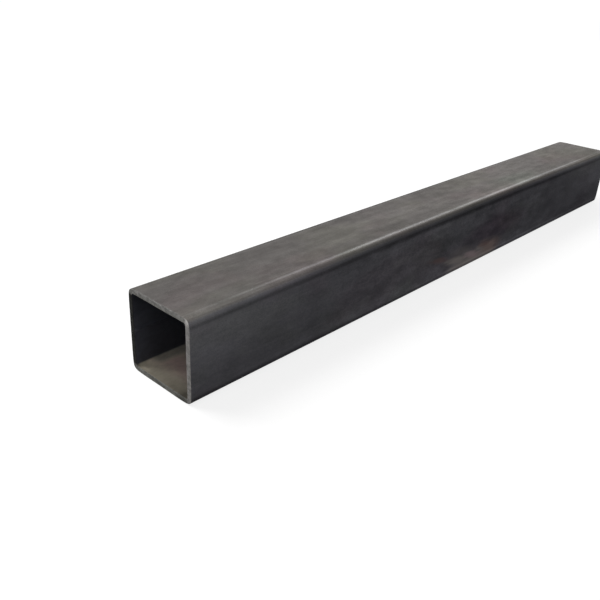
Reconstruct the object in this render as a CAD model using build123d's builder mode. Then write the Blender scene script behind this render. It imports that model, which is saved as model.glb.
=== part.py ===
"""Square steel tube: a sawn length of cold-formed, welded square hollow section.

Steel strip is rolled round until its two edges meet, the edges are welded into one
seam along the middle of a wall, the outside of the seam is planed flush, and sizing
rolls press the tube square. The inside of the seam keeps its bead. All in millimetres.

The tube lies on one wall and runs along X. The origin is on the ground under the
middle of the tube, +Z is up, and the seam is in the wall on the +Y side.
"""

import os

from build123d import *

# Stock size
length = 500.0  # between the two sawn ends
side = 50.0  # across the outside flats, both ways
wall = 3.0  # strip thickness, the same in the walls and round the bends
inside_bend_radius = 1.5

# Weld bead along the inside of the seam wall
bead_width = 2.4
bead_height = 0.7

# Sawn ends
deburr = 0.3  # chamfer filed along the outside and inside edges of each cut

# Worked out from the sizes above
outside_bend_radius = inside_bend_radius + wall
bore = side - 2 * wall
middle_height = side / 2
seam_wall_inside = bore / 2
near_end = Plane.YZ.offset(-length / 2)
filed_end = near_end.offset(deburr)

with BuildPart() as square_tube:
    # The rolled section, one strip thick all the way round
    with BuildSketch(near_end):
        with Locations((0, middle_height)):
            RectangleRounded(side, side, outside_bend_radius)
            RectangleRounded(bore, bore, inside_bend_radius, mode=Mode.SUBTRACT)
    extrude(amount=length)

    # Both saw cuts are deburred, outside and in
    sawn_faces = square_tube.faces().filter_by(Axis.X)
    chamfer(sawn_faces.edges(), length=deburr)

    # The bead is filed back level with the inside chamfer at each end
    with BuildSketch(filed_end):
        with BuildLine():
            foot_low = (seam_wall_inside, middle_height - bead_width / 2)
            foot_high = (seam_wall_inside, middle_height + bead_width / 2)
            crown = (seam_wall_inside - bead_height, middle_height)
            ThreePointArc(foot_low, crown, foot_high)
            Line(foot_high, foot_low)
        make_face()
    extrude(amount=length - 2 * deburr)

square_tube.part.label = "square_tube"

os.makedirs("parts", exist_ok=True)
export_step(square_tube.part, "parts/square_tube.step")
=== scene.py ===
"""Dresses the square steel tube: a finely meshed rolled section in mill finish, with
filed saw cuts and a weld bead along the bore, on a plain white studio floor.

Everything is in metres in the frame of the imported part: the tube lies along X on the
floor at Z = 0, and its weld seam runs along the middle of the wall on the +Y side.
"""

import math
from types import SimpleNamespace

import bmesh
import bpy
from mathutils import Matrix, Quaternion, Vector, noise


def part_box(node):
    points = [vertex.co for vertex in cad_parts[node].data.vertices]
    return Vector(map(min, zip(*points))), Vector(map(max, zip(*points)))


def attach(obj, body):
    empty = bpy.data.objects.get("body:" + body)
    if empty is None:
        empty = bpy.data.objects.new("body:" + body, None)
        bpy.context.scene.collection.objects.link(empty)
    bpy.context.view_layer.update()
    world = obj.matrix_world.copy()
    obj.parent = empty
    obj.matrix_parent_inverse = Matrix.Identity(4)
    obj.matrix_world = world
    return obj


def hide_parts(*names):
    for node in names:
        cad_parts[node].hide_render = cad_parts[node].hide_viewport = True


bl_info = {
    "name": "Square Steel Tube",
    "version": (1, 0, 0),
    "blender": (4, 5, 0),
    "location": "View3D > Sidebar > Steel Tube",
    "description": "A sawn length of welded square hollow section in mill finish",
    "category": "Object",
}

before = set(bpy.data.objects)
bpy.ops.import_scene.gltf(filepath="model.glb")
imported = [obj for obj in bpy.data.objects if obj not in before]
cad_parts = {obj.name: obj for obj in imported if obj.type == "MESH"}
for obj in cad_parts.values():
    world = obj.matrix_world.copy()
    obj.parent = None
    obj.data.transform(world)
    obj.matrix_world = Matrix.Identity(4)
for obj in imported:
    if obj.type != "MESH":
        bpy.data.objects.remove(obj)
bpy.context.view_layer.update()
TUBE_LOW, TUBE_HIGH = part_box("square_tube")
TUBE_SIZE = TUBE_HIGH - TUBE_LOW

MM = 0.001

# Spacing of the mesh along the tube, outside and in the bore
OUTSIDE_ROWS = 5.0 * MM
BORE_ROWS = 4.0 * MM

# Spacing of the mesh round the flats, and over the seam
FLAT_ROWS = 1.0 * MM
SEAM_ROWS = 0.4 * MM

# Distances back from a bend where a wall has extra rows
SHOULDER_ROWS = (2.4 * MM, 1.6 * MM, 1.0 * MM, 0.5 * MM)

# Faces round each bend, and over each filed edge
BEND_STEPS = 10
FILED_STEPS = 4

# Places of the finishes among the tube's materials
SKIN, BORE, CUT = 0, 1, 2

# From the middle of the tube to each lamp
LAMP_DISTANCE = 1.8

# From the tube to where the floor's own white begins to rise, and to where it is full
GLOW_START = 0.5
GLOW_END = 3.5


# Settings


class TubeSizes(bpy.types.PropertyGroup):
    """Sizes of the rolled section, its weld and its saw cuts"""

    length: bpy.props.FloatProperty(
        name="Length", description="Between the two saw cuts",
        default=TUBE_SIZE.x, unit="LENGTH",
    )
    side: bpy.props.FloatProperty(
        name="Side", description="Across the outside flats",
        default=TUBE_SIZE.z, unit="LENGTH",
    )
    wall: bpy.props.FloatProperty(
        name="Wall", description="Thickness of the strip",
        default=3.0 * MM, unit="LENGTH",
    )
    inside_bend: bpy.props.FloatProperty(
        name="Inside bend", description="Radius of the bends inside the bore",
        default=1.5 * MM, unit="LENGTH",
    )
    bead_width: bpy.props.FloatProperty(
        name="Bead width", description="Width of the weld bead inside the seam wall",
        default=2.4 * MM, unit="LENGTH",
    )
    bead_height: bpy.props.FloatProperty(
        name="Bead height", description="How far the bead stands into the bore",
        default=0.7 * MM, unit="LENGTH",
    )
    planed_width: bpy.props.FloatProperty(
        name="Planed width", description="Width of the strip planed over the outside seam",
        default=7.0 * MM, unit="LENGTH",
    )
    planed_depth: bpy.props.FloatProperty(
        name="Planed depth", description="How deep the planing tool cut",
        default=0.04 * MM, unit="LENGTH",
    )
    dish: bpy.props.FloatProperty(
        name="Dish", description="How far the middle of each wall is drawn in by rolling",
        default=0.08 * MM, unit="LENGTH",
    )
    ease: bpy.props.FloatProperty(
        name="Ease", description="How far a wall has dropped where its bend begins",
        default=0.25 * MM, unit="LENGTH",
    )
    ease_reach: bpy.props.FloatProperty(
        name="Ease reach", description="How far from the bend a wall begins to drop",
        default=9.0 * MM, unit="LENGTH",
    )
    filing: bpy.props.FloatProperty(
        name="Filing", description="Mean width filed off the edges of the saw cuts",
        default=0.3 * MM, unit="LENGTH",
    )


def colour_property(name, description, default):
    return bpy.props.FloatVectorProperty(
        name=name, description=description, default=default, subtype="COLOR"
    )


class TubeFinish(bpy.types.PropertyGroup):
    """Colours of the mill finish, the cut steel and the oxide"""

    # The top and bottom take a lighter copy of the scale, and the side walls a darker copy as painted
    # shade
    warm_scale_painted_lit: colour_property(
        "Warm scale", "Brown-grey mill scale on the top and bottom walls", (0.152, 0.1435, 0.138)
    )
    cool_scale_painted_shade: colour_property(
        "Cool scale", "Blue-grey mill scale on the side walls", (0.086, 0.085, 0.0935)
    )
    skin_olive: colour_property(
        "Oil tint", "Olive tint of old oil, multiplied in", (0.985, 1.0, 0.955)
    )
    oily_top: colour_property(
        "Oily patch", "Olive tint of a patch of oil on the top, multiplied in", (0.94, 1.0, 0.96)
    )
    skin_blush: colour_property(
        "Blush tint", "Pink-brown tint of thin oxide, multiplied in", (1.0, 0.955, 0.97)
    )
    # Cool tint of the painted highlight beside each bend
    rubbed: colour_property(
        "Rubbed tint", "Cool tint of the rubbed bends, multiplied in", (0.915, 0.955, 1.0)
    )
    stain_pale: colour_property("Pale stain", "Pale stain on the front wall", (0.24, 0.218, 0.208))
    rust: colour_property("Rust", "Thin red-brown rust", (0.135, 0.092, 0.087))
    bloom: colour_property("Pink bloom", "Pale pink bloom beside the rust", (0.31, 0.25, 0.255))
    tan: colour_property(
        "Tan tint", "Tan tint where the stain has dried, multiplied in", (0.93, 0.81, 0.785)
    )
    oxide: colour_property(
        "Oxide tint", "Purple tint round the rust, multiplied in", (0.80, 0.72, 0.77)
    )
    heat_tint: colour_property("Heat tint", "Tint beside the weld, multiplied in", (0.80, 0.84, 1.0))
    planed: colour_property(
        "Planed steel", "Bare steel where the seam is planed", (0.165, 0.162, 0.160)
    )
    cut_steel: colour_property("Cut steel", "Bare steel left by the saw", (0.22, 0.213, 0.206))
    cut_oily: colour_property("Oily cut", "Saw cut under a film of oil", (0.190, 0.186, 0.1775))
    cut_dull: colour_property("Dulled cut", "Saw cut that has gone dull", (0.033, 0.033, 0.032))
    bore_dark: colour_property("Bore", "Dark scale inside the bore", (0.068, 0.071, 0.087))
    bore_dust: colour_property("Bore dust", "Oily dust settled in the bore", (0.26, 0.236, 0.188))
    bore_blush: colour_property(
        "Bore blush", "Pink-brown tint in the dust, multiplied in", (0.95, 0.80, 0.92)
    )
    edge_tint: colour_property(
        "Edge tint", "Strength of grazing reflections in the metal", (0.35, 0.35, 0.35)
    )
    metal: bpy.props.FloatProperty(
        name="Metal", description="How much of the scale reflects as metal does",
        default=0.30, subtype="FACTOR",
    )
    sheen: bpy.props.FloatProperty(
        name="Sheen", description="Strength of the clear reflection over the scale",
        default=0.0, subtype="FACTOR",
    )


class StageSettings(bpy.types.PropertyGroup):
    """Floor, light and camera"""

    aim: bpy.props.FloatVectorProperty(
        name="Aim", description="Point that the camera looks at",
        default=(-0.15784, -0.01206, 0.025), subtype="XYZ", unit="LENGTH",
    )
    azimuth: bpy.props.FloatProperty(
        name="Azimuth", description="Turn of the camera round the tube, from -Y",
        default=math.radians(-47.924), subtype="ANGLE",
    )
    elevation: bpy.props.FloatProperty(
        name="Elevation", description="Height of the camera above the horizon",
        default=math.radians(26.8), subtype="ANGLE",
    )
    roll: bpy.props.FloatProperty(
        name="Roll", description="Tilt of the camera about its own line of sight",
        default=math.radians(2.914), subtype="ANGLE",
    )
    distance: bpy.props.FloatProperty(
        name="Distance", description="From the camera to the point it looks at",
        default=0.41258, unit="LENGTH",
    )
    lens: bpy.props.FloatProperty(
        name="Lens", description="Focal length in millimetres",
        default=42.118, unit="CAMERA",
    )
    floor_radius: bpy.props.FloatProperty(
        name="Floor radius", description="From the tube to the edge of the floor",
        default=12.0, unit="LENGTH",
    )
    floor_grey: bpy.props.FloatProperty(
        name="Floor grey", description="How much lamp light the floor sends back",
        default=0.30, subtype="FACTOR",
    )
    floor_glow: bpy.props.FloatProperty(
        name="Floor glow", description="White that the floor shows of itself",
        default=0.81, subtype="FACTOR",
    )
    ambient: bpy.props.FloatProperty(
        name="Ambient", description="Light that comes from all round",
        default=0.20, subtype="FACTOR",
    )


def settings():
    scene = bpy.context.scene
    return scene.tube_sizes, scene.tube_finish, scene.tube_stage


# Shape of the tube


def spread(low, high, step):
    """Even steps from low to high, both of them included."""
    count = max(1, round((high - low) / step))
    return [low + (high - low) * i / count for i in range(count + 1)]


def wavy(*place):
    """Smooth noise from 0 to 1 at a place given in wavelengths."""
    return 0.5 + 0.5 * noise.noise(Vector((*place, 0.0, 0.0)[:3]))


def painted_line(inward, peak, on_flat, on_bend):
    """1 on a painted line beside a bend, fading over a width on each side.

    Lengths are from the tangent: inward over the flat, and less than 0 round the bend.
    """
    off = inward - peak
    return math.exp(-(off / (on_flat if off > 0 else on_bend)) ** 2)


def painted_shade_line(inward):
    return painted_line(inward, -0.5 * MM, 2.0 * MM, 1.2 * MM)


def painted_highlight_line(inward):
    return painted_line(inward, 0.55 * MM, 1.2 * MM, 0.75 * MM)


def stations(sizes):
    """Points round the strip: where each sits, which way is out, and what it is part of."""
    bend = sizes.inside_bend + sizes.wall
    flat = sizes.side / 2 - bend
    coarse = spread(-flat, flat, FLAT_ROWS)
    shoulder = [flat - back for back in SHOULDER_ROWS]
    shoulder_start = flat - max(SHOULDER_ROWS) - 0.8 * MM
    plain_wall = sorted(
        {round(c, 7) for c in coarse if abs(c) < shoulder_start}
        | {-flat, flat, *shoulder, *(-c for c in shoulder)}
    )
    edge = sizes.planed_width / 2
    seam_wall = sorted(
        [c for c in plain_wall if abs(c) > edge + FLAT_ROWS]
        + spread(-edge - SEAM_ROWS, edge + SEAM_ROWS, SEAM_ROWS)
    )
    centre = Vector((0.0, sizes.side / 2))
    found = []
    for wall in range(4):
        turn = wall * math.pi / 2
        out = Vector((math.cos(turn), math.sin(turn)))
        along = Vector((-out.y, out.x))
        for c in seam_wall if wall == 0 else plain_wall:
            base = centre + out * flat + along * c
            # Each point weighs the painted shade line on the sides and the painted highlight line on
            # top, beside each bend
            found.append(SimpleNamespace(
                base=base, out=out, across=c, wall=wall,
                shoulder=painted_shade_line(flat - abs(c)) if wall in (0, 2) else 0.0,
                rubbed=painted_highlight_line(flat - abs(c)) if wall in (1, 3) else 0.0,
            ))
        corner = centre + (out + along) * flat
        for i in range(1, BEND_STEPS):
            angle = math.pi / 2 * i / BEND_STEPS
            tilted = out * math.cos(angle) + along * math.sin(angle)
            # The bends carry the same weights for the painted lines
            found.append(SimpleNamespace(
                base=corner, out=tilted, across=None, wall=wall, angle=angle,
                shoulder=painted_shade_line(-bend * math.asin(abs(tilted.y))),
                rubbed=painted_highlight_line(-bend * math.asin(abs(tilted.x))),
            ))
    return found, bend, flat


def dished(depth, share, x, wave, seed):
    """A dish across a wall, deepest in its middle, whose depth wanders along the tube."""
    return depth * (1 - share * share) * (0.6 + 0.8 * wavy(x / wave, seed))


def skin_relief(station, x, sizes, flat):
    """How far the rolled skin lies inside its true outline here."""
    ease, reach = sizes.ease, sizes.ease_reach
    if station.across is None:
        # The bend leaves the flat at the slope of its drop, and is true in its middle
        angle = min(station.angle, math.pi / 2 - station.angle)
        slope = 3 * ease / reach * (sizes.inside_bend + sizes.wall) / 4
        fall = math.cos(2 * angle)
        return ease * fall * fall + slope * math.sin(4 * angle) * fall
    share = station.across / flat
    depth = dished(sizes.dish, share, x, 90 * MM, station.wall * 7.3)
    edge = flat - abs(station.across)
    if edge < reach:
        depth += ease * (1 - edge / reach) ** 3
    planed = sizes.planed_width / 2 - abs(station.across)
    if station.wall == 0 and planed > 0:
        depth += sizes.planed_depth * min(1.0, planed / (0.5 * MM))
    return depth


def bore_relief(station, x, sizes, flat):
    """How far the wall's inside lies beyond its true thickness here."""
    if station.across is None:
        return 0.0
    share = station.across / flat
    return dished(0.5 * sizes.dish, share, x, 70 * MM, station.wall * 3.1)


def bead_relief(station, x, sizes):
    """How far the weld bead stands into the bore here."""
    half = sizes.bead_width / 2
    if station.wall != 0 or station.across is None or abs(station.across) >= half:
        return 0.0
    radius = (half * half + sizes.bead_height ** 2) / (2 * sizes.bead_height)
    rise = math.sqrt(radius * radius - station.across ** 2) - (radius - sizes.bead_height)
    unevenness = 0.14
    return rise * (1 - unevenness + unevenness * wavy(x / (11 * MM), 3.1))


def build_mesh(sizes):
    """The whole tube as one closed skin: outside, saw cuts, bore and bead."""
    around, bend, flat = stations(sizes)
    half = sizes.length / 2
    margin = 2 * sizes.filing
    rows = []

    def filed(spot, end, in_bore):
        """How much was filed off an edge here: uneven along it, and not alike anywhere."""
        place = spot.base * 60 + spot.out * 2
        return sizes.filing * (0.55 + 0.9 * wavy(place.x, place.y, end * 5.0 + in_bore * 9.0))

    mesh = bmesh.new()

    def ring(kind, place_of):
        """Adds a row of points round the strip, each at its x and depth under the skin."""
        row = []
        for spot in around:
            x, depth = place_of(spot)
            flat_place = spot.base + spot.out * (bend - depth)
            row.append(mesh.verts.new((x, flat_place.x, flat_place.y)))
        rows.append((kind, row))

    def end_rows(end):
        """Rows over one saw cut, from the outside skin to the bore."""
        for step in range(FILED_STEPS + 1):
            angle = math.pi / 2 * step / FILED_STEPS
            def outer(spot):
                cut = filed(spot, end, False)
                relief = skin_relief(spot, end * half, sizes, flat)
                x = end * (half - cut * (1 - math.sin(angle)))
                return x, relief + cut * (1 - math.cos(angle))
            ring("file", outer)
        for share in (0.2, 0.4, 0.6, 0.8):
            def face(spot):
                low = filed(spot, end, False) + skin_relief(spot, end * half, sizes, flat)
                high = sizes.wall + bore_relief(spot, end * half, sizes, flat) - filed(spot, end, True)
                return end * half, low + (high - low) * share
            ring("cut", face)
        for step in range(FILED_STEPS, -1, -1):
            angle = math.pi / 2 * step / FILED_STEPS
            def inner(spot):
                cut = filed(spot, end, True)
                relief = bore_relief(spot, end * half, sizes, flat)
                x = end * (half - cut * (1 - math.sin(angle)))
                return x, sizes.wall + relief - cut * (1 - math.cos(angle))
            ring("cut" if step == FILED_STEPS else "file", inner)

    for x in spread(-half + margin, half - margin, OUTSIDE_ROWS):
        ring("skin", lambda spot: (x, skin_relief(spot, x, sizes, flat)))
    end_rows(1)
    for x in reversed(spread(-half + margin, half - margin, BORE_ROWS)):
        ring("bore", lambda spot: (
            x, sizes.wall + bore_relief(spot, x, sizes, flat) + bead_relief(spot, x, sizes)
        ))
    first_end = len(rows)
    end_rows(-1)
    rows[first_end:] = reversed(rows[first_end:])
    kinds = {"skin": SKIN, "bore": BORE, "file": CUT, "cut": CUT}
    count = len(rows)
    for r in range(count):
        kind, here = rows[r]
        after_kind, after = rows[(r + 1) % count]
        material = max(kinds[kind], kinds[after_kind])
        if {kind, after_kind} == {"skin", "file"}:
            material = SKIN
        if {kind, after_kind} == {"bore", "file"}:
            material = BORE
        for s in range(len(around)):
            t = (s + 1) % len(around)
            face = mesh.faces.new((here[s], after[s], after[t], here[t]))
            face.smooth = True
            face.material_index = material
    bmesh.ops.recalc_face_normals(mesh, faces=mesh.faces)
    made = bpy.data.meshes.new("square_tube_steel")
    mesh.to_mesh(made)
    mesh.free()
    # The weights of the painted shade and highlight lines go to the materials as attributes
    for name in ("shoulder", "rubbed"):
        values = made.attributes.new(name, "FLOAT", "POINT").data
        values.foreach_set("value", [getattr(spot, name) for spot in around] * count)
    return made


# Finishes


class Painter:
    """Adds nodes to one material and joins them up. Lengths are in metres on the tube."""

    def __init__(self, name):
        self.material = bpy.data.materials.new(name)
        self.material.use_nodes = True
        self.tree = self.material.node_tree
        self.tree.nodes.clear()
        self.output = self.tree.nodes.new("ShaderNodeOutputMaterial")
        coordinates = self.tree.nodes.new("ShaderNodeTexCoord")
        self.place = coordinates.outputs["Object"]
        self.x, self.y, self.z = self.split(self.place)
        self.facing = self.split(coordinates.outputs["Normal"])

    def add(self, kind, inputs=(), **settings):
        node = self.tree.nodes.new(kind)
        for name, value in settings.items():
            setattr(node, name, value)
        for name, value in dict(inputs).items():
            self.feed(node.inputs[name], value)
        return node

    def feed(self, socket, value):
        """Joins a socket to another one, or sets its number or colour."""
        if isinstance(value, bpy.types.NodeSocket):
            self.tree.links.new(value, socket)
        elif socket.type == "RGBA":
            socket.default_value = (*value, 1.0)
        else:
            socket.default_value = value

    def split(self, vector):
        return self.add("ShaderNodeSeparateXYZ", {"Vector": vector}).outputs

    def noise(self, size, along=1.0, seed=0.0, detail=3.0, roughness=0.55):
        """Cloudy noise with features of a size, so many times longer along the tube."""
        mapped = self.add("ShaderNodeMapping", {
            "Vector": self.place,
            "Scale": (1 / along, 1, 1),
            "Location": (seed, seed * 0.7, seed * 0.4),
        })
        return self.add("ShaderNodeTexNoise", {
            "Vector": mapped.outputs[0], "Scale": 1 / size,
            "Detail": detail, "Roughness": roughness,
        }).outputs[0]

    def saw_lines(self, gap, tilt, seed):
        """Fine parallel lines over a saw cut, tilted from level by an angle in degrees."""
        gaps_long = 40
        mapped = self.add("ShaderNodeMapping", {
            "Vector": self.place, "Scale": (1, gaps_long, 1),
            "Location": (seed, seed * 0.7, seed * 0.4),
            "Rotation": (math.radians(tilt), 0.0, 0.0),
        }, vector_type="TEXTURE")
        return self.add("ShaderNodeTexNoise", {
            "Vector": mapped.outputs[0], "Scale": 1 / gap, "Detail": 2.0, "Roughness": 0.5,
        }).outputs[0]

    def spot(self, centre, reach, tilt=0.0):
        """1 at the centre of a soft spot, falling to 0 at its reach along each axis."""
        mapped = self.add("ShaderNodeMapping", {
            "Vector": self.place, "Location": centre, "Scale": reach,
            "Rotation": (0.0, math.radians(tilt), 0.0),
        }, vector_type="TEXTURE")
        ball = self.add("ShaderNodeTexGradient", {"Vector": mapped.outputs[0]},
                        gradient_type="SPHERICAL")
        return ball.outputs["Fac"]

    def attribute(self, name):
        return self.add("ShaderNodeAttribute", attribute_name=name).outputs["Fac"]

    def window(self, value, low, high, to_low=0.0, to_high=1.0):
        """Carries value smoothly from to_low at low to to_high at high."""
        return self.add("ShaderNodeMapRange", {
            "Value": value, "From Min": low, "From Max": high,
            "To Min": to_low, "To Max": to_high,
        }, interpolation_type="SMOOTHSTEP").outputs[0]

    def math(self, operation, a, b=0.0):
        node = self.add("ShaderNodeMath", operation=operation)
        self.feed(node.inputs[0], a)
        self.feed(node.inputs[1], b)
        return node.outputs[0]

    def times(self, *values):
        """The product of several values."""
        product = values[0]
        for value in values[1:]:
            product = self.math("MULTIPLY", product, value)
        return product

    def largest(self, *values):
        """The largest of several values."""
        most = values[0]
        for value in values[1:]:
            most = self.math("MAXIMUM", most, value)
        return most

    def mix(self, share, below, above, kind="MIX"):
        node = self.add("ShaderNodeMix", data_type="RGBA", blend_type=kind)
        self.feed(node.inputs["Factor"], share)
        self.feed(node.inputs[6], below)
        self.feed(node.inputs[7], above)
        return node.outputs[2]

    def tone(self, share, below, hue):
        """Tints what is below by a hue, in proportion."""
        return self.mix(share, below, hue, "MULTIPLY")

    def shade(self, colour, level):
        """Makes a colour darker below 1 and lighter above it."""
        node = self.add("ShaderNodeVectorMath", operation="SCALE")
        self.feed(node.inputs[0], colour)
        self.feed(node.inputs["Scale"], level)
        return node.outputs[0]

    def shade_by(self, value, colour, low, high, level_low, level_high):
        """Shades a colour by level_low where value is low, to level_high where it is high."""
        return self.shade(colour, self.window(value, low, high, level_low, level_high))

    def bump(self, height, depth):
        return self.add("ShaderNodeBump", {"Height": height, "Distance": depth}).outputs[0]

    def surface(self, shader):
        """Makes a shader the material's surface, and gives the material back."""
        self.tree.links.new(shader.outputs[0], self.output.inputs["Surface"])
        return self.material

    def steel(self, **inputs):
        """Finishes the material as steel, with the inputs of its shader."""
        named = {name.replace("_", " "): value for name, value in inputs.items()}
        return self.surface(self.add("ShaderNodeBsdfPrincipled", named))


def read_skin(p, sizes):
    """What the skin is painted by: its slope, its way in from a saw cut, and its noises."""
    skin = SimpleNamespace(
        upright=p.math("ABSOLUTE", p.facing[2]),
        inward=p.math("SUBTRACT", sizes.length / 2, p.math("ABSOLUTE", p.x)),
        oil=p.noise(34 * MM, along=2.0, seed=1.3, detail=4),
        mottle=p.noise(6 * MM, along=2.0, seed=2.2, detail=4),
        blotch=p.noise(9 * MM, along=2.2, seed=7.7, detail=4),
        streak=p.noise(1.6 * MM, along=45, seed=3.0, detail=3),
        hair=p.noise(0.4 * MM, along=60, seed=5.0, detail=2),
        grain=p.noise(1.1 * MM, along=1.5, seed=6.0, detail=2),
        pits=p.noise(0.35 * MM, along=1.4, seed=10.6, detail=3, roughness=0.65),
    )
    # Where a painted highlight brightens the bright line beside a bend, and where the rubbed bend is a
    # little smoother
    skin.rub = p.times(
        p.attribute("rubbed"),
        p.window(skin.oil, 0.30, 0.60, 0.85, 1.0),
        p.window(skin.inward, 12 * MM, 90 * MM, 0.35, 1.0),
        p.window(p.y, 0.0, 15 * MM, 1.0, 0.3),
    )
    return skin


def lay_scale(p, skin, finish):
    """Plain mill scale: cool and painted darker on the sides as shade, warm and lighter on top, with
    oil, thin oxide and streaks.
    """
    cloud = p.noise(24 * MM, along=2.4, seed=0.0, detail=5)
    blush = p.noise(40 * MM, along=1.8, seed=4.1, detail=4)
    scratch = p.noise(0.22 * MM, along=150, seed=12.2, detail=1)
    # Painted shade: the sides get the darker copy of the scale, the top and bottom the lighter one
    colour = p.mix(p.window(skin.upright, 0.35, 0.95), finish.cool_scale_painted_shade, finish.warm_scale_painted_lit)
    colour = p.tone(p.window(skin.oil, 0.46, 0.64), colour, finish.skin_olive)
    colour = p.tone(p.window(blush, 0.48, 0.64), colour, finish.skin_blush)
    colour = p.shade_by(cloud, colour, 0.32, 0.68, 0.93, 1.08)
    colour = p.shade_by(skin.mottle, colour, 0.30, 0.70, 0.95, 1.05)
    colour = p.shade_by(skin.streak, colour, 0.30, 0.70, 0.965, 1.035)
    colour = p.shade_by(skin.grain, colour, 0.25, 0.75, 0.94, 1.06)
    colour = p.shade_by(skin.pits, colour, 0.30, 0.70, 0.86, 1.14)
    return p.shade_by(scratch, colour, 0.66, 0.76, 1.0, 1.35)


def weather_top_and_paint_light(p, skin, colour, sizes, finish):
    """The top wall has painted light: it gets paler along its length and over its far part towards the
    back, with a painted highlight near the front further on. It also has a pale cloud along its
    middle, and a darker band between that and the bright line in front."""

    def mark(along, across, length, width, depth=8):
        """A soft spot on the top wall, placed and sized in millimetres."""
        centre = (along * MM, across * MM, sizes.side)
        return p.spot(centre, (length * MM, width * MM, depth * MM))

    top = p.window(skin.upright, 0.9, 0.99)
    uneven = p.times(top, p.math("SUBTRACT", skin.mottle, 0.5))
    colour = p.shade_by(uneven, colour, -0.2, 0.2, 0.95, 1.05)
    across = p.window(p.y, -12 * MM, 2 * MM, 0.35, 1.0)
    beyond = p.times(p.window(p.x, 30 * MM, 75 * MM), across)
    # Painted light: paler along the length and over the far part towards the back, and a painted
    # highlight near the front further on; beside these, a pale cloud, a pale fleck and a darker band
    level = p.times(
        p.window(p.x, -sizes.length / 2, 80 * MM, 0.97, 1.07),
        p.window(beyond, 0.0, 1.0, 1.0, 1.15),
        p.window(mark(-100, 2, 110, 16), 0.0, 0.8, 1.0, 1.13),
        p.window(mark(-239, -20.5, 6, 3, depth=4), 0.0, 0.8, 1.0, 1.2),
        p.window(mark(-60, -14.5, 90, 8), 0.0, 0.7, 1.0, 0.86),
        p.window(mark(75, -18, 90, 6), 0.0, 0.8, 1.0, 1.28),
    )
    colour = p.mix(top, colour, p.shade(colour, level))
    oily = p.window(mark(90, -12, 60, 14), 0.0, 0.7)
    return p.tone(p.times(top, oily), colour, finish.oily_top)


def weather_sides_and_paint_light(p, skin, colour):
    """The side walls have painted light towards a saw cut, above the middle, and are blotchy beyond
    it.
    """
    side = p.window(skin.upright, 0.3, 0.1)
    uneven = p.times(side, p.window(skin.inward, 60 * MM, 180 * MM, 0.25, 1.0))
    blotchy = p.shade_by(skin.blotch, colour, 0.30, 0.70, 0.84, 1.16)
    blotchy = p.shade_by(skin.mottle, blotchy, 0.30, 0.70, 0.92, 1.08)
    blotchy = p.shade_by(skin.grain, blotchy, 0.25, 0.75, 0.94, 1.06)
    colour = p.mix(uneven, colour, blotchy)
    # Painted light on the upper sides near a saw cut
    near_cut = p.window(skin.inward, 0.0, 110 * MM, 1.0, 0.0)
    painted_side_light = p.times(side, near_cut, p.window(p.z, 14 * MM, 32 * MM))
    return p.shade_by(painted_side_light, colour, 0.0, 1.0, 1.0, 1.42)


def stain_front(p, skin, colour, sizes, finish):
    """A stain low on the front wall: purple oxide, pale scale, red-brown rust with a pink
    bloom, a tan part where it dried, and a paler foot beside the bottom bend."""
    front = -sizes.side / 2

    def mark(along, up, length, height, tilt=0):
        """A soft spot on the front wall, placed and sized in millimetres."""
        centre = (along * MM, front, up * MM)
        return p.spot(centre, (length * MM, 8 * MM, height * MM), tilt)

    colour = p.tone(p.window(mark(52, 24, 66, 15), 0.1, 0.7), colour, finish.oxide)
    colour = p.shade_by(mark(-20, 2, 250, 16), colour, 0.0, 0.9, 1.0, 1.60)
    torn = p.noise(2.2 * MM, along=10, seed=13.5, detail=5, roughness=0.65)
    flecks = p.times(
        p.window(skin.mottle, 0.3, 0.7, 0.85, 1.15), p.window(torn, 0.3, 0.7, 0.65, 1.35)
    )

    halo = p.window(mark(4, 14.5, 26, 7, tilt=9), 0.0, 0.8, 0.0, 0.26)
    colour = p.mix(halo, colour, finish.stain_pale)
    pale = p.largest(mark(38, 7, 27, 13), mark(-2, 10, 27, 5, tilt=9), mark(14, 5, 40, 8))
    pale = p.window(p.times(pale, flecks), 0.05, 0.75, 0.0, 0.9)
    colour = p.mix(pale, colour, finish.stain_pale)
    rust = p.largest(mark(34, 14, 13, 4.5, tilt=6), mark(-29, 17.5, 20, 3.5, tilt=11))
    rust = p.window(p.times(rust, flecks), 0.1, 0.8, 0.0, 0.6)
    colour = p.mix(rust, colour, finish.rust)
    bloom = p.times(mark(19, 9.2, 20, 4.5, tilt=12), flecks)
    colour = p.mix(p.window(bloom, 0.1, 0.8, 0.0, 0.9), colour, finish.bloom)
    dried = p.window(mark(47, 10, 22, 8), 0.0, 0.7)
    colour = p.tone(dried, colour, finish.tan)
    foot = p.times(
        p.window(p.y, front + 2 * MM, front + 1 * MM),
        p.window(p.z, 7 * MM, 4.5 * MM),
        p.window(p.x, -80 * MM, -5 * MM),
    )
    return p.shade_by(foot, colour, 0.0, 1.0, 1.0, 1.57)


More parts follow.
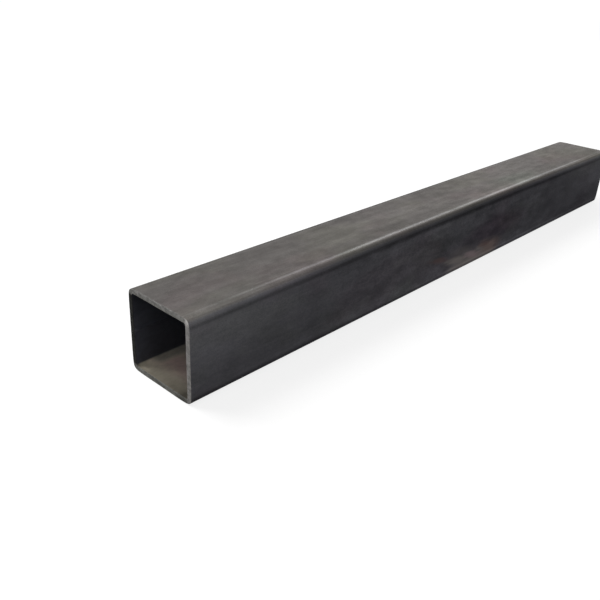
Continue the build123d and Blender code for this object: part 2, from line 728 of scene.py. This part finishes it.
def paint_bend_light_and_shade(p, skin, colour, finish):
    """Painted light and shade on the bends: lighter near the saw cuts, darker away from them and on
    the bottom bends, with a painted dark line on the sides and a painted bright line on top beside
    each bend."""
    # Painted light near a saw cut, and painted shade away from it and on the bottom bends
    bend = p.times(p.window(skin.upright, 0.03, 0.20), p.window(skin.upright, 0.999, 0.965))
    painted_light_near_cut = p.window(skin.upright, 0.5, 0.85, 1.90, 1.12)
    painted_shade_far_from_cut = p.window(skin.upright, 0.6, 0.85, 0.78, 0.53)
    level = p.window(skin.inward, 0.0, 190 * MM, painted_light_near_cut, painted_shade_far_from_cut)
    level = p.window(p.z, 4 * MM, 10 * MM, 0.62, level)
    colour = p.mix(bend, colour, p.shade(colour, level))
    # Painted shade: a dark line on the sides beside each bend
    dull = p.times(p.attribute("shoulder"), p.window(p.z, 8 * MM, 30 * MM, 0.3, 1.0))
    colour = p.shade_by(dull, colour, 0.0, 1.0, 1.0, 0.54)
    # Painted highlight: a cool bright line on top beside each bend
    colour = p.shade_by(skin.rub, colour, 0.0, 1.0, 1.0, 1.95)
    return p.tone(skin.rub, colour, finish.rubbed)


def plane_seam(p, skin, colour, sizes, finish):
    """The strip planed over the weld, with heat tint on both sides of it."""
    seam = p.window(p.y, 24 * MM, 24.8 * MM)
    off_seam = p.math("ABSOLUTE", p.math("SUBTRACT", p.z, sizes.side / 2))
    planed_edge = sizes.planed_width / 2
    heat = p.times(
        seam,
        p.window(off_seam, planed_edge, planed_edge + 6 * MM, 1.0, 0.0),
        p.window(skin.oil, 0.3, 0.7, 0.4, 1.0),
    )
    colour = p.tone(heat, colour, finish.heat_tint)
    wander = p.noise(5 * MM, along=6.0, seed=8.3, detail=3)
    wander = p.window(wander, 0.3, 0.7, -0.5 * MM, 0.5 * MM)
    from_seam = p.math("ADD", off_seam, wander)
    planed = p.times(seam, p.window(from_seam, planed_edge - 0.9 * MM, planed_edge, 1.0, 0.0))
    tool = p.noise(0.5 * MM, along=160, seed=9.1, detail=3)
    bare = p.shade_by(tool, finish.planed, 0.35, 0.65, 0.70, 1.25)
    bare = p.shade_by(skin.blotch, bare, 0.30, 0.70, 0.80, 1.15)
    return p.mix(planed, colour, bare)


def paint_skin(sizes, finish):
    """The outside: mill scale with its weathering and painted light, the stain, the bends with their
    painted light and shade, and the seam.
    """
    p = Painter("mill_skin")
    skin = read_skin(p, sizes)
    colour = lay_scale(p, skin, finish)
    colour = weather_top_and_paint_light(p, skin, colour, sizes, finish)
    colour = weather_sides_and_paint_light(p, skin, colour)
    colour = stain_front(p, skin, colour, sizes, finish)
    colour = paint_bend_light_and_shade(p, skin, colour, finish)
    colour = plane_seam(p, skin, colour, sizes, finish)

    roughness = p.window(p.math("ADD", skin.streak, skin.mottle), 0.7, 1.3, 0.28, 0.38)
    roughness = p.times(roughness, p.window(skin.rub, 0.0, 1.0, 1.0, 0.8))
    height = p.math("ADD", skin.streak, p.times(skin.hair, 0.3))
    height = p.math("ADD", height, p.times(skin.grain, 0.4))
    height = p.math("ADD", height, p.times(skin.pits, 0.5))
    return p.steel(
        Base_Color=colour, Metallic=finish.metal, Roughness=roughness,
        Normal=p.bump(height, 0.004 * MM),
        Specular_IOR_Level=finish.sheen, Specular_Tint=finish.edge_tint,
    )


def settle_dust_and_paint_light(p, inward, thin, cloud, finish):
    """Oily dust on the bottom, pinker further in and paler in a patch behind the mouth, with painted
    shade towards the front wall, at the mouth and deeper in, and painted light a little way in and at
    the mouth beside the back wall."""
    # Painted shade towards the front wall, which shades the floor beside it
    dust = p.shade_by(p.y, finish.bore_dust, -19 * MM, 5 * MM, 0.56, 1.26)
    # Painted light at the mouth beside the back wall
    painted_light_at_mouth = p.window(inward, 0.8 * MM, 2.2 * MM, 1.3, 1.8)
    dust = p.shade_by(p.y, dust, 10 * MM, 19 * MM, 1.0, painted_light_at_mouth)
    paler_patch = p.times(
        p.window(p.y, 4 * MM, 10 * MM),
        p.window(inward, 1 * MM, 3 * MM),
        p.window(inward, 14 * MM, 9 * MM),
    )
    dust = p.shade_by(paler_patch, dust, 0.0, 1.0, 1.0, 1.12)
    # Painted shade at the mouth and deeper in, and painted light a little way in
    dust = p.shade_by(inward, dust, 0.0, 16 * MM, 0.78, 1.50)
    dust = p.shade_by(inward, dust, 18 * MM, 30 * MM, 1.0, 0.75)
    blush = p.times(
        p.window(inward, 4 * MM, 18 * MM),
        p.window(inward, 20 * MM, 28 * MM, 1.0, 0.4),
        p.window(thin, 0.0, 1.0, 1.0, 0.0),
    )
    dust = p.tone(blush, dust, finish.bore_blush)
    return p.shade_by(cloud, dust, 0.30, 0.70, 0.92, 1.08)


def paint_bore(sizes, finish):
    """Dull dark scale inside, with oily dust settled along the bottom near each mouth, and painted
    light near each mouth and painted shade deeper in, towards the top and over the bead.
    """
    p = Painter("bore_scale")
    cloud = p.noise(14 * MM, along=2.0, seed=1.0, detail=4)
    speck = p.noise(2.2 * MM, along=1.3, seed=2.0, detail=3)
    streak = p.noise(1.6 * MM, along=40, seed=3.0, detail=2)
    inward = p.math("SUBTRACT", sizes.length / 2, p.math("ABSOLUTE", p.x))

    # Beside the back wall, further in: less pink dust, and less dust over the dark scale, which paints
    # shade into the corner where the floor meets the back wall
    thin = p.times(p.window(p.y, 11 * MM, 20 * MM), p.window(inward, 5 * MM, 16 * MM))
    dust = settle_dust_and_paint_light(p, inward, thin, cloud, finish)
    low = p.window(p.z, sizes.wall + 0.1 * MM, sizes.wall + 1.3 * MM, 1.0, 0.0)
    settled = p.times(
        low,
        p.window(inward, 20 * MM, 70 * MM, 1.0, 0.25),
        p.window(thin, 0.0, 1.0, 1.0, 0.35),
    )
    # Painted light on the dark scale near the mouth, painted shade deeper in and towards the top
    scale = p.shade_by(inward, finish.bore_dark, 0.0, 16 * MM, 1.30, 0.85)
    scale = p.shade_by(p.z, scale, 27 * MM, 47 * MM, 1.0, 0.45)
    colour = p.mix(settled, scale, dust)

    # Darker over the weld bead, strongest near the mouth: partly weld oxide, partly painted shade over
    # the lit slope of the bead
    off_bead = p.math("ABSOLUTE", p.math("SUBTRACT", p.z, sizes.side / 2))
    bead = p.times(p.window(off_bead, 0.6 * MM, 1.6 * MM, 1.0, 0.0), p.window(p.y, 0.0, 15 * MM))
    painted_bead_shade = p.window(inward, 0.0, 8 * MM, 0.5, 0.9)
    colour = p.shade_by(bead, colour, 0.0, 1.0, 1.0, painted_bead_shade)
    colour = p.shade_by(speck, colour, 0.30, 0.70, 0.92, 1.08)
    # Darker in a spot in the bottom corner by the front wall, near the mouth
    dark_spot_by_front_wall = p.spot((-sizes.length / 2, -18.3 * MM, 3.4 * MM), (9 * MM, 5.5 * MM, 3 * MM))
    colour = p.shade_by(dark_spot_by_front_wall, colour, 0.0, 0.8, 1.0, 0.6)

    height = p.math("ADD", p.times(streak, 0.5), speck)
    return p.steel(
        Base_Color=colour, Metallic=0.15, Roughness=p.window(cloud, 0.3, 0.7, 0.45, 0.62),
        Normal=p.bump(height, 0.03 * MM), Specular_IOR_Level=0.2,
        Specular_Tint=finish.edge_tint,
    )


def paint_cut(sizes, finish):
    """Sawn faces: bright saw-lined steel in front, dull and oily round the other walls, with a painted
    highlight on the top front corner and painted shade on the filed edges.
    """
    p = Painter("sawn_steel")
    lines = p.saw_lines(0.35 * MM, tilt=14, seed=0.013)
    patch = p.noise(2.6 * MM, along=1.0, seed=2.0, detail=4)
    fine = p.noise(0.7 * MM, along=1.0, seed=3.0, detail=3)

    front = p.window(p.y, -21.9 * MM, -21.2 * MM, 1.0, 0.0)
    oily = p.shade_by(p.z, finish.cut_oily, 2 * MM, 4 * MM, 0.90, 1.0)
    oily = p.tone(p.window(p.z, 4 * MM, 2 * MM), oily, finish.skin_olive)
    colour = p.mix(front, oily, finish.cut_steel)
    near_back = p.times(
        p.window(p.x, 1 * MM, -1 * MM),
        p.window(p.y, 19.5 * MM, 21.5 * MM),
        p.window(p.z, 45.5 * MM, 47.5 * MM, 1.0, 0.0),
        p.window(p.z, 2.5 * MM, 5 * MM),
    )
    colour = p.mix(near_back, colour, finish.cut_dull)
    corner = p.spot((-sizes.length / 2, -17.8 * MM, 1.5 * MM), (5 * MM, 7 * MM, 4 * MM))
    colour = p.shade_by(corner, colour, 0.0, 0.8, 1.0, 0.58)
    colour = p.shade_by(p.z, colour, 2 * MM, 4 * MM, 0.86, 1.0)
    # Painted highlight on the top front corner of the cut
    painted_crest_highlight = p.spot((-sizes.length / 2, -23.9 * MM, 48.4 * MM), (4 * MM, 2.8 * MM, 2.8 * MM))
    colour = p.shade_by(painted_crest_highlight, colour, 0.0, 0.8, 1.0, 2.2)
    colour = p.shade_by(patch, colour, 0.30, 0.70, 0.72, 1.28)
    colour = p.shade_by(fine, colour, 0.30, 0.70, 0.88, 1.12)
    colour = p.shade_by(lines, colour, 0.30, 0.70, 0.84, 1.16)

    # Painted shade darkens the filed edges, except in front
    square_on = p.math("ABSOLUTE", p.facing[0])
    filed = p.shade_by(square_on, colour, 0.35, 0.97, 0.50, 1.0)
    colour = p.mix(front, filed, colour)
    return p.steel(
        Base_Color=colour, Metallic=0.5, Roughness=p.window(patch, 0.3, 0.7, 0.38, 0.50),
        Normal=p.bump(p.math("ADD", lines, patch), 0.03 * MM),
        Specular_IOR_Level=0.0, Specular_Tint=finish.edge_tint,
    )


# Stage


def add_lamp(name, turn, rise, size, power, spin=0.0):
    """A softbox that faces the tube, turned from +X, raised and spun in degrees."""
    data = bpy.data.lights.new(name, "AREA")
    data.shape = "RECTANGLE"
    data.size, data.size_y = size
    data.energy = power
    lamp = bpy.data.objects.new(name, data)
    turn, rise = math.radians(turn), math.radians(rise)
    direction = Vector((
        math.cos(turn) * math.cos(rise), math.sin(turn) * math.cos(rise), math.sin(rise),
    ))
    lamp.location = direction * LAMP_DISTANCE
    lamp.rotation_mode = "QUATERNION"
    facing = direction.to_track_quat("Z", "Y")
    lamp.rotation_quaternion = facing @ Quaternion((0, 0, 1), math.radians(spin))
    lamp.visible_camera = False
    bpy.context.scene.collection.objects.link(lamp)


def seen_directly(tree):
    """1 for what the camera, a reflection or a clear material sees, and 0 for lighting."""
    rays = tree.nodes.new("ShaderNodeLightPath")
    last = rays.outputs["Is Camera Ray"]
    for name in ("Is Glossy Ray", "Is Transmission Ray"):
        both = tree.nodes.new("ShaderNodeMath")
        both.operation = "MAXIMUM"
        tree.links.new(last, both.inputs[0])
        tree.links.new(rays.outputs[name], both.inputs[1])
        last = both.outputs[0]
    return last


def make_world(stage):
    world = bpy.data.worlds.new("studio_light")
    world.use_nodes = True
    tree = world.node_tree
    background = tree.nodes["Background"]
    background.inputs["Color"].default_value = (1, 1, 1, 1)
    strength = tree.nodes.new("ShaderNodeMapRange")
    strength.inputs["To Min"].default_value = stage.ambient
    strength.inputs["To Max"].default_value = 1.0
    tree.links.new(seen_directly(tree), strength.inputs["Value"])
    tree.links.new(strength.outputs[0], background.inputs["Strength"])
    bpy.context.scene.world = world


def paint_floor(stage):
    """Matt grey under the lamps, with a white of its own for whatever sees it directly."""
    p = Painter("floor_white")
    grey = stage.floor_grey
    matt = p.add("ShaderNodeBsdfDiffuse", {"Color": (grey, grey, grey)})
    place = p.add("ShaderNodeNewGeometry").outputs["Position"]
    reach = p.add("ShaderNodeVectorMath", {0: place}, operation="LENGTH").outputs["Value"]
    white = p.add("ShaderNodeMapRange", {
        "Value": reach, "From Min": GLOW_START, "From Max": GLOW_END,
        "To Min": stage.floor_glow, "To Max": 1.0,
    }).outputs[0]
    glow = p.add("ShaderNodeEmission", {"Strength": p.times(seen_directly(p.tree), white)})
    both = p.add("ShaderNodeAddShader", {0: matt.outputs[0], 1: glow.outputs[0]})
    return p.surface(both)


def make_floor(stage):
    mesh = bmesh.new()
    bmesh.ops.create_circle(mesh, cap_ends=True, segments=96, radius=stage.floor_radius)
    data = bpy.data.meshes.new("studio_floor")
    mesh.to_mesh(data)
    mesh.free()
    data.materials.append(paint_floor(stage))
    floor = bpy.data.objects.new("studio_floor", data)
    bpy.context.scene.collection.objects.link(floor)


def make_camera(stage):
    data = bpy.data.cameras.new("studio_camera")
    data.lens = stage.lens
    data.clip_start = 0.01
    data.clip_end = 100
    camera = bpy.data.objects.new("studio_camera", data)
    turn, rise = stage.azimuth, stage.elevation
    back = Vector((
        math.sin(turn) * math.cos(rise), -math.cos(turn) * math.cos(rise), math.sin(rise),
    ))
    camera.location = Vector(stage.aim) + back * stage.distance
    camera.rotation_mode = "QUATERNION"
    level = (-back).to_track_quat("-Z", "Y")
    camera.rotation_quaternion = level @ Quaternion((0, 0, 1), stage.roll)
    bpy.context.scene.collection.objects.link(camera)
    bpy.context.scene.camera = camera


# Operators


class OBJECT_OT_steel_tube(bpy.types.Operator):
    """Make the tube with its mill finish"""

    bl_idname = "object.steel_tube"
    bl_label = "Steel Tube"
    bl_options = {"REGISTER", "UNDO"}

    def execute(self, context):
        sizes, finish, _ = settings()
        data = build_mesh(sizes)
        tube = bpy.data.objects.new("square_tube_steel", data)
        context.scene.collection.objects.link(tube)
        finishes = {SKIN: paint_skin, BORE: paint_bore, CUT: paint_cut}
        for place in sorted(finishes):
            data.materials.append(finishes[place](sizes, finish))
        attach(tube, "root")
        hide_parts("square_tube")
        return {"FINISHED"}


class OBJECT_OT_tube_stage(bpy.types.Operator):
    """Make the floor, the lamps, the surrounding light and the camera"""

    bl_idname = "object.tube_stage"
    bl_label = "Tube Stage"
    bl_options = {"REGISTER", "UNDO"}

    def execute(self, context):
        stage = context.scene.tube_stage
        make_floor(stage)
        make_world(stage)
        make_camera(stage)
        add_lamp("softbox_behind", turn=112, rise=50, size=(1.1, 1.1), power=26)
        add_lamp("strip_right", turn=21, rise=30, size=(0.85, 0.18), power=4, spin=20)
        add_lamp("softbox_left", turn=187, rise=36, size=(0.8, 0.8), power=4)
        context.scene.view_settings.view_transform = "Standard"
        return {"FINISHED"}


class VIEW3D_PT_steel_tube(bpy.types.Panel):
    """Sidebar panel with the tube's settings and operators"""

    bl_label = "Steel Tube"
    bl_space_type = "VIEW_3D"
    bl_region_type = "UI"
    bl_category = "Steel Tube"

    def draw(self, context):
        layout = self.layout
        layout.operator(OBJECT_OT_steel_tube.bl_idname)
        layout.operator(OBJECT_OT_tube_stage.bl_idname)
        for group in settings():
            box = layout.box()
            for name in group.bl_rna.properties.keys():
                if name not in ("rna_type", "name"):
                    box.prop(group, name)


CLASSES = (
    TubeSizes,
    TubeFinish,
    StageSettings,
    OBJECT_OT_steel_tube,
    OBJECT_OT_tube_stage,
    VIEW3D_PT_steel_tube,
)


def register():
    for cls in CLASSES:
        bpy.utils.register_class(cls)
    bpy.types.Scene.tube_sizes = bpy.props.PointerProperty(type=TubeSizes)
    bpy.types.Scene.tube_finish = bpy.props.PointerProperty(type=TubeFinish)
    bpy.types.Scene.tube_stage = bpy.props.PointerProperty(type=StageSettings)


def unregister():
    del bpy.types.Scene.tube_stage
    del bpy.types.Scene.tube_finish
    del bpy.types.Scene.tube_sizes
    for cls in reversed(CLASSES):
        bpy.utils.unregister_class(cls)


def main():
    register()
    bpy.ops.object.steel_tube()
    bpy.ops.object.tube_stage()


if __name__ == "__main__":
    main()
